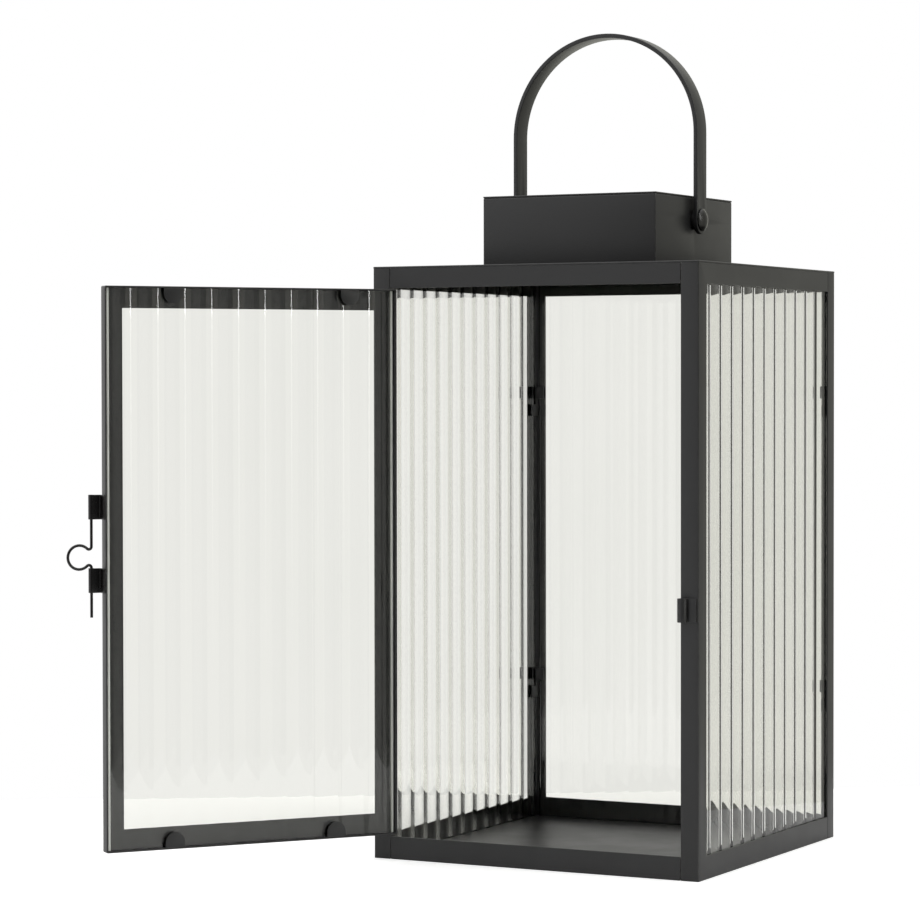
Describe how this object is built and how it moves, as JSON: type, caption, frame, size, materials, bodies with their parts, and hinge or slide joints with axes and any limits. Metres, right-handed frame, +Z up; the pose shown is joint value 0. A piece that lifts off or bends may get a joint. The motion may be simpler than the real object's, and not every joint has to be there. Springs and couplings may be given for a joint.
{
  "type": "candle lantern",
  "caption": "Square black metal candle lantern with ribbed glass panes, a hinged front door held by a drop-pin latch, a chimney cupola and a swinging strap handle.",
  "frame": {"origin": "centre of the underside of the body", "axes": "+Z up; the door is on the -Y side, hinged at -X and latched at +X; the handle's pivots lie along X"},
  "size_m": [0.2713, 0.3213, 0.4225],
  "materials": {
    "black_coat": "matt black powder coat",
    "black_hardware": "black oxide, satin",
    "ribbed_glass": "clear, fluted on the inner face"
  },
  "bodies": {
    "lantern_body": {"base_tray": "black_coat", "left_frame": "black_coat", "right_frame": "black_coat", "back_frame": "black_coat", "front_top_rail": "black_coat", "front_bottom_rail": "black_coat", "top_plate": "black_coat", "cupola_walls": "black_coat", "cupola_cap": "black_coat", "left_pane": "ribbed_glass", "right_pane": "ribbed_glass", "back_pane": "ribbed_glass", "corner_clips": "black_coat", "front_clips": "black_coat", "latch_keeper": "black_coat", "hinge_post_leaves": "black_coat", "hinge_pins": "black_hardware", "spacer_washers": "black_coat", "pivot_screws": "black_hardware", "screw_nuts": "black_coat"},
    "door": {"door_frame": "black_coat", "door_pane": "ribbed_glass", "door_glass_tabs": "black_coat", "hinge_door_leaves": "black_coat", "upper_latch_sleeve": "black_hardware", "lower_latch_sleeve": "black_hardware"},
    "handle": {"handle_strap": "black_coat"},
    "latch_wire": {"latch_wire": "black_hardware"}
  },
  "joints": [
    {"name": "door_hinge", "type": "hinge", "parent": "lantern_body", "child": "door", "pos_m": [-0.0779, -0.09185, 0.1513], "axis": [0, 0, 1], "range_deg": [-53.5, 126.5]},
    {"name": "handle_swing", "type": "hinge", "parent": "lantern_body", "child": "handle", "pos_m": [0, 0, 0.3252], "axis": [1, 0, 0], "range_deg": [-100, 100]},
    {"name": "latch_slide", "type": "slide", "parent": "door", "child": "latch_wire", "axis": [0, 0, 1], "range_m": [0, 0.013]}
  ]
}
